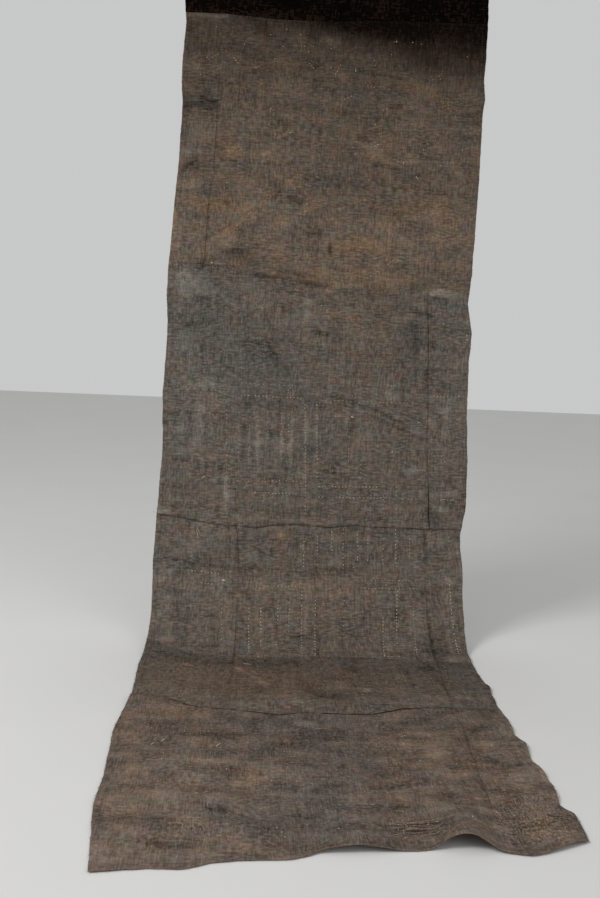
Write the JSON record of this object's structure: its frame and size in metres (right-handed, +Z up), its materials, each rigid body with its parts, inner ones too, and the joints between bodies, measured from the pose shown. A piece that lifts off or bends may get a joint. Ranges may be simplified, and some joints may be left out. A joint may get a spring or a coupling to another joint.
{
  "type": "kuba cloth",
  "caption": "Long patched raffia skirt cloth, hung from its top edge, that sweeps out at the foot and lies on the floor.",
  "frame": {"origin": "middle of the cloth's top edge, in the hanging plane", "axes": "+X to the right across the cloth seen from its face, -Y out of its face towards the viewer, +Z up"},
  "size_m": [0.732, 0.9987, 1.54],
  "materials": {
    "raffia_dark": "near-black dyed raffia, matt",
    "raffia_rust": "plain-woven raffia, dark brown with rust patches, worn and matt",
    "raffia_grey": "plain-woven raffia, grey-brown with rows of pale stitches, worn and matt",
    "raffia_floor": "plain-woven raffia, warm grey-brown and coarse, worn and matt"
  },
  "bodies": {
    "root": {"top_band": "raffia_dark", "panel_1_left_strip_upper": "raffia_rust", "panel_1_left_strip_lower": "raffia_rust", "panel_1": "raffia_rust", "panel_2": "raffia_grey", "panel_2_right_strip": "raffia_grey", "panel_3_left_strip": "raffia_grey", "panel_3": "raffia_grey", "panel_3_right_strip": "raffia_grey", "panel_4": "raffia_floor", "panel_4_right_strip": "raffia_floor"}
  },
  "joints": []
}
